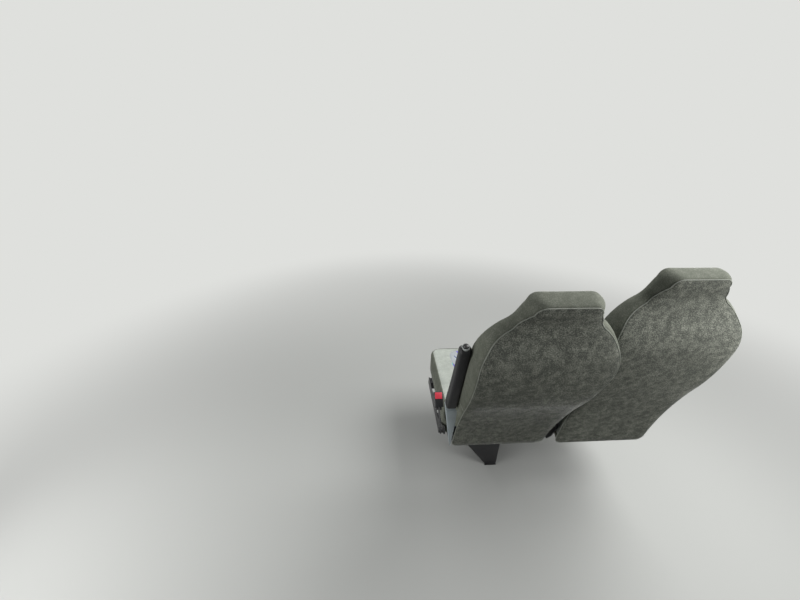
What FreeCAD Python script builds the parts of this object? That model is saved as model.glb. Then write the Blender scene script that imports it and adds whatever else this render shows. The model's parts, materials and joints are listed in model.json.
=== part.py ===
import FreeCAD, Part
import math
import os

# Double passenger seat of a minibus, in millimetres.
# +Z is up, the seat faces -Y, +X is the aisle side and -X the wall side.
# The origin is the middle of the pedestal's foot, where it stands on the floor.

# Places and overall layout
aisle_place_x = 66.0         # middle of the aisle place, from the foot
seat_height = 455.0          # top of the cushions above the floor
wall_gap = 23.5              # window cushion's side to the wall plate

# Cushions
cushion_width = 435.0
cushion_front_y = -262.0
cushion_rear_y = 232.0
cushion_thickness = 120.0
cushion_corner = 60.0
cushion_edge = 24.0
pan_thickness = 3.0
pan_margin = 12.0            # how far the pan stays inside the cushion's outline
pan_lip = 18.0

# Pedestal
foot_length = 300.0
foot_width = 58.0
foot_thickness = 6.0
foot_overhang = 5.0          # foot's end to the post that stands on it
foot_bolt_edge = 25.0        # foot's end to the middle of its bolt hole
foot_hole = 11.0
post_sheet = 3.0
post_flange = 22.0
post_top_reach = 236.0       # how far the post flares to the aisle at its top
web_hole = 80.0

# Frame under the cushions
rail_height = 40.0
rail_depth = 40.0
rail_wall = 2.5
side_arm_thickness = 5.0
side_arm_front = 8.0         # how far it runs on before the front rail
side_arm_heel = 35.0         # how far its lower edge runs on behind the rear rail
side_arm_rise = 12.0         # where its upper edge starts to rise, before the rail's rear face
cushion_side_gap = 7.5       # cushion's side to the side arm

# Wall plate
wall_plate_overhang = 15.0   # past the rails, along Y
wall_plate_margin = 20.0     # above and below the rails
wall_plate_thickness = 4.0
wall_hole = 9.0
wall_hole_gap = 20.0         # rail's side to the middle of the hole

# Backs, in their own frame: s along the back from its pivot, b to the rear
aisle_recline = 16.0         # degrees behind upright, as the aisle back stands at rest
window_recline = 8.0
back_bottom_s = -60.0
back_top_s = 775.0
bottom_side_inset = 15.5     # cushion's side to the back's side, at its bottom
shoulder_side_inset = 3.5
shoulder_drop = 235.0        # top of the back to its widest point
shoulder_radius = 170.0
shoulder_angle = 62.0        # degrees of the shoulder's arc, from the widest point
head_half_width = 97.0
head_corner = 22.0
bottom_corner = 36.0
panel_thickness = 8.0
panel_inset = 10.0           # back's side to the rear panel's edge
rear_depth = 112.0           # rear face's greatest distance behind the pivot's line
front_depth = 22.0           # front face's greatest distance before it
# Side profiles: arcs through each three points, then a line to the top.
# They run on past the back's ends, where its outline cuts them.
rear_profile = [
    # share of the back's length, share of rear_depth
    (-0.01, 0.50), (0.22, 0.54), (0.43, 0.78), (0.55, 0.95), (0.67, 1.0),
    (0.74, 0.95), (0.80, 0.80), (0.855, 0.58), (0.91, 0.48), (1.01, 0.657),
]
front_profile = [
    # share of the back's length, share of front_depth
    (-0.01, -0.56), (0.15, 0.73), (0.31, 1.0), (0.51, 0.27), (0.705, -0.36),
    (0.79, -0.34), (0.855, -0.23), (1.01, 0.112),
]

# Hinges and recliners
pivot_drop = 50.0            # cushion's top to the pivot
hinge_thickness = 4.0
hinge_width = 40.0
hinge_length = 100.0
hinge_side_gap = 1.5         # hinge plate to pivot bracket
hinge_notch_depth = 22.0     # the pad is narrower beside the hinge plates
hinge_notch_gap = 10.0       # hinge plate's end to the end of that notch
bracket_thickness = 5.0
bracket_eye = 22.0           # radius round the pivot
bracket_cushion_gap = 8.0    # cushion's rear to the bracket's upright
pin_radius = 6.0
pin_clearance = 0.08
washer_gap = 0.2
hub_radius = 30.0
hub_thickness = 10.0
pin_head_radius = 10.0
pin_head_thickness = 4.0

# Armrest, in the aisle back's frame
armrest_s = 258.0
armrest_b = 26.0
armrest_length = 317.0       # from its pivot to its tip
armrest_width = 36.0
armrest_depth = 46.0         # at the pivot
armrest_tip_depth = 34.0
armrest_gap = 6.0            # between the back's widest side and the armrest
armrest_bolt_radius = 8.0
armrest_cap_radius = 11.0
armrest_cap_height = 9.0
carrier_thickness = 4.0
carrier_width = 46.0
carrier_rise = 35.0          # above the armrest's pivot
carrier_cover_gap = 13.0
cover_armrest_gap = 17.0     # armrest's round lower end to the cover
cover_bottom_gap = 7.0       # back's lower end to the cover's
cover_top_reach = 46.0       # how far the side cover stands out at its top
cover_bottom_reach = 3.0
cover_depth = 40.0
cover_lean = 12.0            # how far its lower end lies behind its upper end

# Belts
anchor_drop = 9.0            # pivot of the back to the aisle buckle's anchor
anchor_bolt_radius = 7.0
anchor_eye = 18.0
bolt_flange = 4.0            # how far heads and spacers stand out round the bolt
bolt_head_thickness = 6.0
bolt_side_gap = 0.5
stalk_thickness = 4.0
stalk_width = 24.0
stalk_eye_margin = 4.0
stalk_length = 92.0          # from the anchor to the buckle
centre_stalk_length = 74.0
stalk_side_gap = 10.5        # side arm to stalk
buckle_length = 64.0
buckle_width = 40.0
buckle_thickness = 21.0
buckle_corner = 5.0
buckle_tilt = 45.0           # degrees above level
button_length = 27.0
button_width = 31.0
button_height = 2.5
button_inset = 3.0           # buckle's mouth to the button
centre_buckle_tilt = 72.0
centre_buckle_inset = 42.0   # cushion's rear to the centre buckle's anchor
centre_anchor_drop = 61.0    # cushion's top to that anchor
centre_plate_thickness = 3.0
centre_side_gap = 1.5        # that plate and its stalk to the cushions
retractor_length = 62.0
retractor_depth = 46.0
retractor_drop = 22.0        # how far the retractor hangs below the rail
retractor_pan_gap = 2.0
belt_hinge_gap = 20.0        # retractor's end to the hinge plate's line
webbing_exit = 12.0          # webbing's height above the rail's lower face, at the retractor
webbing_width = 47.0
webbing_thickness = 1.4
webbing_gap = 4.0            # cushion's rear to the webbing
webbing_lap = 64.0           # length that lies on the cushion
tongue_thickness = 3.0
tongue_bar = 5.0             # bar that the webbing loops over
tongue_slot = 7.0
tongue_slot_gap = 1.0        # webbing's edge to the end of the slot
tongue_side = 5.0            # metal beside the slot
tongue_neck = 8.0            # slot to the blade
tongue_blade_width = 24.0
tongue_blade_length = 42.0
mouth_side_gap = 2.0         # blade to the buckle's mouth
mouth_face_gap = 1.25
mouth_depth = 24.0

# Allowances
soft_gap = 0.3               # soft solids to what carries them
cut_margin = 1.0             # how far a cutting solid runs past what it cuts
tolerance = 0.01

# Worked out from the sizes above: cushions and frame
centre_gap = centre_plate_thickness + stalk_thickness + 2 * centre_side_gap
window_place_x = aisle_place_x - cushion_width - centre_gap
cushion_base_z = seat_height - cushion_thickness
pan_base_z = cushion_base_z - soft_gap - pan_thickness
rail_top_z = pan_base_z
rail_base_z = rail_top_z - rail_height
rail_outer_y = foot_length / 2 - foot_overhang
rail_middle_y = rail_outer_y - rail_depth / 2
side_arm_x = aisle_place_x + cushion_width / 2 + cushion_side_gap
wall_plate_inner_x = window_place_x - cushion_width / 2 - wall_gap
wall_plate_x = wall_plate_inner_x - wall_plate_thickness

# Worked out: backs and hinges
pivot_y = cushion_rear_y + bracket_cushion_gap + bracket_eye
pivot_z = seat_height - pivot_drop
back_length = back_top_s - back_bottom_s
shoulder_s = back_top_s - shoulder_drop
bottom_half_width = cushion_width / 2 - bottom_side_inset
shoulder_half_width = cushion_width / 2 - shoulder_side_inset
side_low_s = back_bottom_s + bottom_corner
side_slope = (shoulder_half_width - bottom_half_width) / (shoulder_s - side_low_s)
back_reach = rear_depth + 2 * front_depth
notch_half_width = bottom_half_width - hinge_notch_depth
hinge_inner = notch_half_width + soft_gap
hinge_outer = hinge_inner + hinge_thickness
bracket_inner = hinge_outer + hinge_side_gap
bracket_outer = bracket_inner + bracket_thickness

# Worked out: armrest and belts
armrest_side = shoulder_half_width + armrest_gap
cover_top_s = armrest_s - armrest_depth / 2 - cover_armrest_gap
cover_bottom_s = back_bottom_s + cover_bottom_gap
anchor_z = pivot_z - anchor_drop
stalk_side_x = side_arm_x + side_arm_thickness + stalk_side_gap
centre_buckle_y = cushion_rear_y - centre_buckle_inset
centre_anchor_z = seat_height - centre_anchor_drop
centre_plate_x = window_place_x + cushion_width / 2 + centre_side_gap
belt_offset = notch_half_width - belt_hinge_gap - retractor_length / 2
belt_base_z = seat_height + soft_gap
tongue_rear_y = cushion_rear_y - webbing_lap
tongue_slot_width = webbing_width + 2 * tongue_slot_gap

places = [
    # name, middle x, recline, side that faces out
    ("aisle", aisle_place_x, aisle_recline, 1),
    ("window", window_place_x, window_recline, -1),
]


def vec(x, y, z):
    return FreeCAD.Vector(x, y, z)


def box(x0, x1, y0, y1, z0, z1):
    return Part.makeBox(x1 - x0, y1 - y0, z1 - z0, vec(x0, y0, z0))


def middle_box(wide_x, wide_y, z0, z1):
    return box(-wide_x / 2, wide_x / 2, -wide_y / 2, wide_y / 2, z0, z1)


def rod_x(x0, x1, y, z, radius):
    return Part.makeCylinder(radius, x1 - x0, vec(x0, y, z), vec(1, 0, 0))


def rod_z(x, y, z0, z1, radius):
    return Part.makeCylinder(radius, z1 - z0, vec(x, y, z0), vec(0, 0, 1))


def plate_yz(points, x0, x1):
    corners = [vec(x0, y, z) for y, z in points]
    outline = Part.makePolygon(corners + [corners[0]])
    return Part.Face(outline).extrude(vec(x1 - x0, 0, 0))


def plate_xz(points, y0, y1):
    corners = [vec(x, y0, z) for x, z in points]
    outline = Part.makePolygon(corners + [corners[0]])
    return Part.Face(outline).extrude(vec(0, y1 - y0, 0))


def upright_edges(shape):
    return [
        edge for edge in shape.Edges
        if edge.BoundBox.XLength + edge.BoundBox.YLength < tolerance
    ]


def save(name, shape):
    solids = shape.Solids
    if not solids or not shape.isValid():
        raise ValueError(name + " is not a valid solid")
    result = solids[0] if len(solids) == 1 else Part.makeCompound(solids)
    result.exportStep("parts/" + name + ".step")
    volume = sum(solid.Volume for solid in solids)
    print(name, "solids", len(solids), "volume cm3", round(volume / 1000, 1))


def place_back(shape, middle_x, recline):
    # From the back's own frame (x, b, s) to the seat's frame.
    shape = shape.copy()
    shape.rotate(vec(0, 0, 0), vec(1, 0, 0), -recline)
    shape.translate(vec(middle_x, pivot_y, pivot_z))
    return shape


# Pedestal

def foot_plate():
    plate = middle_box(foot_width, foot_length, 0, foot_thickness)
    for side in (-1, 1):
        y = side * (foot_length / 2 - foot_bolt_edge)
        plate = plate.cut(rod_z(0, y, -cut_margin, foot_thickness + cut_margin, foot_hole / 2))
    return plate


def pedestal_post(side):
    # A flared sheet post with a flange along its slanted edge.
    inner_x = -foot_width / 2
    low_x = foot_width / 2
    low = foot_thickness
    high = rail_base_z
    outer_y = side * rail_outer_y
    sheet_y = outer_y - side * post_sheet
    flange_y = sheet_y - side * post_flange
    y0, y1 = sorted((outer_y, sheet_y))
    sheet = plate_xz([(inner_x, low), (low_x, low), (post_top_reach, high), (inner_x, high)], y0, y1)
    edge = post_sheet * math.hypot(post_top_reach - low_x, high - low) / (high - low)
    y0, y1 = sorted((sheet_y, flange_y))
    flange = plate_xz(
        [(low_x, low), (post_top_reach, high), (post_top_reach - edge, high), (low_x - edge, low)],
        y0, y1)
    return sheet.fuse(flange).removeSplitter()


def pedestal_web():
    # Joins the two posts on the side away from the aisle.
    inner_x = -foot_width / 2
    reach = rail_outer_y - post_sheet
    web = box(inner_x, inner_x + post_sheet, -reach, reach, foot_thickness, rail_base_z)
    middle_z = (foot_thickness + rail_base_z) / 2
    hole = rod_x(inner_x - cut_margin, inner_x + post_sheet + cut_margin, 0, middle_z, web_hole / 2)
    return web.cut(hole)


# Frame

def cross_rail(y):
    y0 = y - rail_depth / 2
    y1 = y + rail_depth / 2
    outer = box(wall_plate_inner_x, side_arm_x, y0, y1, rail_base_z, rail_top_z)
    inner = box(wall_plate_inner_x - cut_margin, side_arm_x + cut_margin,
                y0 + rail_wall, y1 - rail_wall, rail_base_z + rail_wall, rail_top_z - rail_wall)
    return outer.cut(inner)


def wall_plate():
    reach = rail_outer_y + wall_plate_overhang
    plate = box(wall_plate_x, wall_plate_inner_x, -reach, reach,
                rail_base_z - wall_plate_margin, rail_top_z + wall_plate_margin)
    middle_z = (rail_base_z + rail_top_z) / 2
    hole_y = rail_outer_y - rail_depth - wall_hole_gap
    for side in (-1, 1):
        plate = plate.cut(rod_x(wall_plate_x - cut_margin, wall_plate_inner_x + cut_margin,
                                side * hole_y, middle_z, wall_hole / 2))
    return plate


def side_arm():
    # Closes the rails' aisle ends and rises at the rear to the buckle's anchor.
    front_y = -rail_outer_y - side_arm_front
    outer_x = side_arm_x + side_arm_thickness
    outline = [
        (front_y, rail_base_z), (front_y, rail_top_z), (rail_outer_y - side_arm_rise, rail_top_z),
        (pivot_y - anchor_eye, anchor_z), (pivot_y + anchor_eye, anchor_z),
        (rail_outer_y + side_arm_heel, rail_base_z),
    ]
    arm = plate_yz(outline, side_arm_x, outer_x)
    eye = rod_x(side_arm_x, outer_x, pivot_y, anchor_z, anchor_eye)
    hole = rod_x(side_arm_x - cut_margin, outer_x + cut_margin, pivot_y, anchor_z,
                 anchor_bolt_radius + pin_clearance)
    return arm.fuse(eye).removeSplitter().cut(hole)


def pivot_bracket(middle_x, side):
    # Welded to the rear rail's rear face, it rises behind the cushion to the pivot.
    x0, x1 = sorted((middle_x + side * bracket_inner, middle_x + side * bracket_outer))
    front_y = pivot_y - bracket_eye
    outline = [
        (rail_outer_y, rail_base_z), (front_y, rail_base_z),
        (pivot_y, rail_top_z), (pivot_y + bracket_eye, pivot_z),
        (front_y, pivot_z), (front_y, rail_top_z), (rail_outer_y, rail_top_z),
    ]
    plate = plate_yz(outline, x0, x1).fuse(rod_x(x0, x1, pivot_y, pivot_z, bracket_eye))
    hole = rod_x(x0 - cut_margin, x1 + cut_margin, pivot_y, pivot_z, pin_radius)
    return plate.removeSplitter().cut(hole)


def pivot_pin(middle_x, side, head_radius, head_thickness):
    # The head lies outside the bracket and the shank ends flush inside the hinge plate.
    spans = [
        # from, to, radius
        (hinge_inner, bracket_outer, pin_radius),
        (hinge_outer + washer_gap, bracket_inner, pin_head_radius),
        (bracket_outer, bracket_outer + head_thickness, head_radius),
    ]
    rods = []
    for near, far, radius in spans:
        x0, x1 = sorted((middle_x + side * near, middle_x + side * far))
        rods.append(rod_x(x0, x1, pivot_y, pivot_z, radius))
    return rods[0].fuse(rods[1:]).removeSplitter()


# Cushions

def cushion(middle_x):
    half = cushion_width / 2
    block = box(middle_x - half, middle_x + half, cushion_front_y, cushion_rear_y,
                cushion_base_z, seat_height)
    front_corners = [
        edge for edge in upright_edges(block)
        if edge.BoundBox.YMax < cushion_front_y + tolerance
    ]
    block = block.makeFillet(cushion_corner, front_corners)
    top = [
        edge for edge in block.Edges
        if edge.BoundBox.ZMin > seat_height - tolerance
    ]
    return block.makeFillet(cushion_edge, top)


def cushion_pan(middle_x):
    half = cushion_width / 2 - pan_margin
    y0 = cushion_front_y + cushion_corner
    y1 = cushion_rear_y - pan_margin
    sheet = box(middle_x - half, middle_x + half, y0, y1, pan_base_z, pan_base_z + pan_thickness)
    lip = box(middle_x - half, middle_x + half, y0, y0 + pan_thickness,
              pan_base_z - pan_lip, pan_base_z)
    return sheet.fuse(lip).removeSplitter()


# Backs

def half_width_at(s):
    return bottom_half_width + side_slope * (s - side_low_s)


def half_outline(side, inset):
    # One side of the back's outline seen from behind, from the bottom's middle to the top's.
    def at(width, s):
        return vec(side * width, 0, s)

    def arc(first, middle, last):
        return Part.Arc(at(*first), at(*middle), at(*last)).toShape()

    def line(first, last):
        return Part.LineSegment(at(*first), at(*last)).toShape()

    def on_shoulder(angle):
        turn = math.radians(angle)
        centre = shoulder_half_width - shoulder_radius
        radius = shoulder_radius - inset
        return centre + radius * math.cos(turn), shoulder_s + radius * math.sin(turn)

    cut = 1 - math.sqrt(0.5)
    top = back_top_s - inset
    low = bottom_half_width - inset
    head = head_half_width - inset
    low_radius = bottom_corner - inset
    top_radius = head_corner - inset
    bottom_end = (low - low_radius, back_bottom_s)
    corner_top = (low, back_bottom_s + low_radius)
    widest = on_shoulder(0)
    neck = on_shoulder(shoulder_angle)
    side_top = (head, top - top_radius)
    top_end = (head - top_radius, top)
    return [
        line((0, back_bottom_s), bottom_end),
        arc(bottom_end, (low - low_radius * cut, back_bottom_s + low_radius * cut), corner_top),
        line(corner_top, widest),
        arc(widest, on_shoulder(shoulder_angle / 2), neck),
        line(neck, side_top),
        arc(side_top, (head - top_radius * cut, top - top_radius * cut), top_end),
        line(top_end, (0, top)),
    ]


def outline_prism(inset):
    wire = Part.Wire(Part.sortEdges(half_outline(1, inset) + half_outline(-1, inset))[0])
    face = Part.Face(wire)
    face.translate(vec(0, -back_reach, 0))
    return face.extrude(vec(0, 2 * back_reach, 0))


def profile_points(profile, depth, shift):
    # From shares to places in the back's frame, on the plane beyond its wide side.
    x = -shoulder_half_width - cut_margin
    return [vec(x, share_b * depth + shift, back_bottom_s + share_s * back_length)
            for share_s, share_b in profile]


def profile_edges(points):
    edges = [Part.Arc(*points[start:start + 3]).toShape() for start in range(0, len(points) - 2, 2)]
    return edges + [Part.LineSegment(points[-2], points[-1]).toShape()]


def between_profiles(front, rear):
    ends = [Part.LineSegment(front[end], rear[end]).toShape() for end in (0, -1)]
    wire = Part.Wire(Part.sortEdges(profile_edges(front) + profile_edges(rear) + ends)[0])
    return Part.Face(wire).extrude(vec(2 * (shoulder_half_width + cut_margin), 0, 0))


def back_pad(middle_x, recline):
    front = profile_points(front_profile, -front_depth, 0)
    rear = profile_points(rear_profile, rear_depth, -panel_thickness - soft_gap)
    body = outline_prism(0).common(between_profiles(front, rear))
    for side in (-1, 1):
        x0, x1 = sorted((side * notch_half_width, side * (shoulder_half_width + cut_margin)))
        body = body.cut(box(x0, x1, -back_reach, back_reach,
                            back_bottom_s - cut_margin, hinge_length + hinge_notch_gap))
    return place_back(body, middle_x, recline)


def back_panel(middle_x, recline):
    front = profile_points(rear_profile, rear_depth, -panel_thickness)
    rear = profile_points(rear_profile, rear_depth, 0)
    body = outline_prism(panel_inset).common(between_profiles(front, rear))
    return place_back(body, middle_x, recline)


def hinge_plate(middle_x, side, recline):
    x0, x1 = sorted((side * hinge_inner, side * hinge_outer))
    half = hinge_width / 2
    plate = box(x0, x1, -half, half, 0, hinge_length).fuse(rod_x(x0, x1, 0, 0, half))
    hole = rod_x(x0 - cut_margin, x1 + cut_margin, 0, 0, pin_radius + pin_clearance)
    return place_back(plate.removeSplitter().cut(hole), middle_x, recline)


# Armrest and what carries it, on the aisle back

def armrest_carrier():
    # Plate on the back's side with the stub that the armrest turns on.
    top_s = armrest_s + carrier_rise
    inner = half_width_at(top_s) + soft_gap
    outer = inner + carrier_thickness
    plate = box(inner, outer, armrest_b - carrier_width / 2, armrest_b + carrier_width / 2,
                cover_top_s + carrier_cover_gap, top_s)
    stub = rod_x(outer, armrest_side + armrest_width, armrest_b, armrest_s, armrest_bolt_radius)
    return place_back(plate.fuse(stub).removeSplitter(), aisle_place_x, aisle_recline)


def side_cover():
    # Wedge beside the back below the armrest, wide at the top and thin at the bottom.
    low = bottom_half_width + soft_gap
    high = half_width_at(cover_top_s) + soft_gap
    seen_from_behind = [
        (low, cover_bottom_s), (low + cover_bottom_reach, cover_bottom_s),
        (high + cover_top_reach, cover_top_s), (high, cover_top_s),
    ]
    seen_from_beside = [
        (cover_lean, cover_bottom_s), (cover_lean + cover_depth, cover_bottom_s),
        (cover_depth, cover_top_s), (0, cover_top_s),
    ]
    wedge = plate_xz(seen_from_behind, 0, cover_lean + cover_depth)
    wedge = wedge.common(plate_yz(seen_from_beside, low, high + cover_top_reach))
    return place_back(wedge, aisle_place_x, aisle_recline)


def armrest_pad():
    x0 = armrest_side
    x1 = armrest_side + armrest_width
    half = armrest_depth / 2
    tip = armrest_tip_depth / 2
    tip_s = armrest_s + armrest_length - tip
    outline = [
        (armrest_b - half, armrest_s), (armrest_b + half, armrest_s),
        (armrest_b + tip, tip_s), (armrest_b - tip, tip_s),
    ]
    body = plate_yz(outline, x0, x1)
    body = body.fuse(rod_x(x0, x1, armrest_b, armrest_s, half))
    body = body.fuse(rod_x(x0, x1, armrest_b, tip_s, tip)).removeSplitter()
    hole = rod_x(x0 - cut_margin, x1 + cut_margin, armrest_b, armrest_s,
                 armrest_bolt_radius + pin_clearance)
    return place_back(body.cut(hole), aisle_place_x, aisle_recline)


def armrest_cap():
    # Push button in the armrest's tip.
    tip_s = armrest_s + armrest_length
    cap = rod_z(armrest_side + armrest_width / 2, armrest_b, tip_s, tip_s + armrest_cap_height,
                armrest_cap_radius)
    return place_back(cap, aisle_place_x, aisle_recline)


# Belts. A buckle is made standing on its anchor, then tilted forward about it.

def tilt_forward(shape, x, y, z, tilt):
    shape = shape.copy()
    shape.rotate(vec(0, 0, 0), vec(1, 0, 0), 90 - tilt)
    shape.translate(vec(x, y, z))
    return shape


def stalk(length, quarter_turn):
    # The strap lies in the plane x = 0, and its upper end is twisted to the buckle's face.
    half = stalk_width / 2
    thick = stalk_thickness / 2
    eye = half + stalk_eye_margin
    strap = box(-thick, thick, -half, half, 0, length)
    strap = strap.fuse(rod_x(-thick, thick, 0, 0, eye))
    if quarter_turn:
        strap = strap.fuse(box(-half, half, -thick, thick, length - half, length))
    hole = rod_x(-thick - cut_margin, thick + cut_margin, 0, 0, anchor_bolt_radius + pin_clearance)
    return strap.removeSplitter().cut(hole)


def buckle_body(length):
    # Its broad face looks to +y, and the mouth for the tongue is in its end.
    top = length + buckle_length
    body = middle_box(buckle_width, buckle_thickness, length, top)
    body = body.makeFillet(buckle_corner, upright_edges(body))
    mouth = middle_box(tongue_blade_width + 2 * mouth_side_gap, tongue_thickness + 2 * mouth_face_gap,
                       top - mouth_depth, top + cut_margin)
    return body.cut(mouth)


def buckle_button(length):
    top = length + buckle_length - button_inset
    face_y = buckle_thickness / 2
    return box(-button_width / 2, button_width / 2, face_y, face_y + button_height,
               top - button_length, top)


def belt_buckle(name, place, length, tilt, turn):
    # A turn of 90 degrees sets the broad face to the side instead of to the rear.
    x, y, z = place
    pieces = {
        "buckle_stalk_" + name: stalk(length, turn == 0),
        "buckle_body_" + name: buckle_body(length),
        "buckle_button_" + name: buckle_button(length),
    }
    for key in ("buckle_body_" + name, "buckle_button_" + name):
        pieces[key].rotate(vec(0, 0, 0), vec(0, 0, 1), turn)
    return {key: tilt_forward(shape, x, y, z, tilt) for key, shape in pieces.items()}


def aisle_anchor_bolt():
    arm_outer = side_arm_x + side_arm_thickness
    head_x = stalk_side_x + stalk_thickness + bolt_side_gap
    flange = anchor_bolt_radius + bolt_flange
    shank = rod_x(side_arm_x, head_x, pivot_y, anchor_z, anchor_bolt_radius)
    spacer = rod_x(arm_outer, stalk_side_x - bolt_side_gap, pivot_y, anchor_z, flange)
    head = rod_x(head_x, head_x + bolt_head_thickness, pivot_y, anchor_z, flange)
    return shank.fuse([spacer, head]).removeSplitter()


def centre_anchor():
    # Plate between the cushions, welded to the rear rail, with the stalk's stub.
    half = stalk_width / 2
    outline = [
        (rail_outer_y, rail_base_z), (rail_outer_y + stalk_width, rail_base_z),
        (centre_buckle_y + half, centre_anchor_z), (centre_buckle_y - half, centre_anchor_z),
        (rail_outer_y, rail_top_z),
    ]
    x0 = centre_plate_x
    x1 = x0 + centre_plate_thickness
    plate = plate_yz(outline, x0, x1)
    eye = rod_x(x0, x1, centre_buckle_y, centre_anchor_z, half)
    stub = rod_x(x1, x1 + stalk_thickness, centre_buckle_y, centre_anchor_z, anchor_bolt_radius)
    return plate.fuse([eye, stub]).removeSplitter()


def retractor(x):
    # Sits on the rear rail's rear face, under the gap behind the cushion.
    return box(x - retractor_length / 2, x + retractor_length / 2,
               rail_outer_y, rail_outer_y + retractor_depth,
               rail_base_z - retractor_drop, pan_base_z - retractor_pan_gap)


def webbing(x):
    # From the retractor's rear, up behind the cushion, over its top and round the tongue's bar.
    thick = webbing_thickness
    up_y = cushion_rear_y + webbing_gap
    low_z = rail_base_z + webbing_exit
    behind_y = tongue_rear_y + soft_gap
    inside_y = tongue_rear_y - tongue_bar - soft_gap
    bar_z = belt_base_z + tongue_thickness + soft_gap
    runs = [
        # y from, y to, z from, z to
        (rail_outer_y + retractor_depth, up_y, low_z, low_z + thick),
        (up_y, up_y + thick, low_z, belt_base_z + thick),
        (behind_y, up_y, belt_base_z, belt_base_z + thick),
        (behind_y, behind_y + thick, belt_base_z, bar_z + thick),
        (inside_y - thick, behind_y + thick, bar_z, bar_z + thick),
        (inside_y - thick, inside_y, belt_base_z, bar_z + thick),
    ]
    straps = [box(x - webbing_width / 2, x + webbing_width / 2, *run) for run in runs]
    return straps[0].fuse(straps[1:]).removeSplitter()


def tongue(x):
    # Lies on the cushion, its slot over the webbing's end and its blade to the front.
    half = tongue_slot_width / 2
    slot_rear_y = tongue_rear_y - tongue_bar
    slot_front_y = slot_rear_y - tongue_slot
    neck_y = slot_front_y - tongue_neck
    low = belt_base_z
    high = belt_base_z + tongue_thickness
    wide = box(x - half - tongue_side, x + half + tongue_side, neck_y, tongue_rear_y, low, high)
    slot = box(x - half, x + half, slot_front_y, slot_rear_y, low - cut_margin, high + cut_margin)
    blade = box(x - tongue_blade_width / 2, x + tongue_blade_width / 2,
                neck_y - tongue_blade_length, neck_y, low, high)
    return wide.fuse(blade).removeSplitter().cut(slot)


os.makedirs("parts", exist_ok=True)

save("foot_plate", foot_plate())
save("pedestal_rear_post", pedestal_post(1))
save("pedestal_front_post", pedestal_post(-1))
save("pedestal_web", pedestal_web())
save("cross_rail_front", cross_rail(-rail_middle_y))
save("cross_rail_rear", cross_rail(rail_middle_y))
save("wall_plate", wall_plate())
save("side_arm", side_arm())
for name, middle_x, recline, outward in places:
    for where, side in (("outer", outward), ("inner", -outward)):
        save("pivot_bracket_" + name + "_" + where, pivot_bracket(middle_x, side))
        save("hinge_plate_" + name + "_" + where, hinge_plate(middle_x, side, recline))
    save("recliner_hub_" + name, pivot_pin(middle_x, outward, hub_radius, hub_thickness))
    save("pivot_pin_" + name, pivot_pin(middle_x, -outward, pin_head_radius, pin_head_thickness))
    save("cushion_" + name, cushion(middle_x))
    save("cushion_pan_" + name, cushion_pan(middle_x))
    save("back_pad_" + name, back_pad(middle_x, recline))
    save("back_panel_" + name, back_panel(middle_x, recline))
    save("retractor_" + name, retractor(middle_x - belt_offset))
    save("belt_webbing_" + name, webbing(middle_x - belt_offset))
    save("belt_tongue_" + name, tongue(middle_x - belt_offset))
save("armrest_carrier", armrest_carrier())
save("side_cover", side_cover())
save("armrest_pad", armrest_pad())
save("armrest_cap", armrest_cap())
aisle_place = (stalk_side_x + stalk_thickness / 2, pivot_y, anchor_z)
centre_place = (centre_plate_x + centre_plate_thickness + stalk_thickness / 2,
                centre_buckle_y, centre_anchor_z)
aisle_buckle = belt_buckle("aisle", aisle_place, stalk_length, buckle_tilt, 0)
centre_buckle = belt_buckle("centre", centre_place, centre_stalk_length, centre_buckle_tilt, -90)
for pieces in (aisle_buckle, centre_buckle):
    for name, shape in pieces.items():
        save(name, shape)
save("buckle_anchor_aisle", aisle_anchor_bolt())
save("buckle_anchor_centre", centre_anchor())
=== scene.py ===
# %% [markdown]
# # A double passenger seat, dressed for the render
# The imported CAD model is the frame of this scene. It has the right sizes and it moves on its joints.
# Each new piece is placed by the same numbers as the CAD and then told which body it rides on, so
# nothing has to be fitted by eye.

# %% Load the frame
import json
import math

import bmesh
import bpy
from mathutils import Matrix, Vector, kdtree

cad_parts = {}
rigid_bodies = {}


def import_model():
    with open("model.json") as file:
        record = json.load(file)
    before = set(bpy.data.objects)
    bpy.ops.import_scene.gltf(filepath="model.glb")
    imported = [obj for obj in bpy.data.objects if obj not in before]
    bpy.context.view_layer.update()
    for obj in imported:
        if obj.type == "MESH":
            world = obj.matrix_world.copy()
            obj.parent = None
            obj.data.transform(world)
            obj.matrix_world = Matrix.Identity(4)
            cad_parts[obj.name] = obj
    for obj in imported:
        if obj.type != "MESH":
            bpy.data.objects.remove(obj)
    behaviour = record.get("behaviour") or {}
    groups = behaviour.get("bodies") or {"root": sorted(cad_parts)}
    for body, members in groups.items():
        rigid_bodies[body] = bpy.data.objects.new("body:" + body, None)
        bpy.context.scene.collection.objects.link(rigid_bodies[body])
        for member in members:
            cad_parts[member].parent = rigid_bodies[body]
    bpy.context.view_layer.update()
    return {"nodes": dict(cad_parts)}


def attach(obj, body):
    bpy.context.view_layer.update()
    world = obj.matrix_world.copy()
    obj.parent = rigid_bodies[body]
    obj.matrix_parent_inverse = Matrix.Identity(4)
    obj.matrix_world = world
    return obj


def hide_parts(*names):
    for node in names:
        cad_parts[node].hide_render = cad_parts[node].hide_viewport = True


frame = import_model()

# %% [markdown]
# ## Sizes, in metres
# The two backs are alike. Each has its own frame: x across, b to the rear and s up along the back from
# its pivot. The outline is what shows from behind, and the two side profiles give the front and the rear
# face as shares of the back's length and depth. They repeat the CAD's values.

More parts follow.
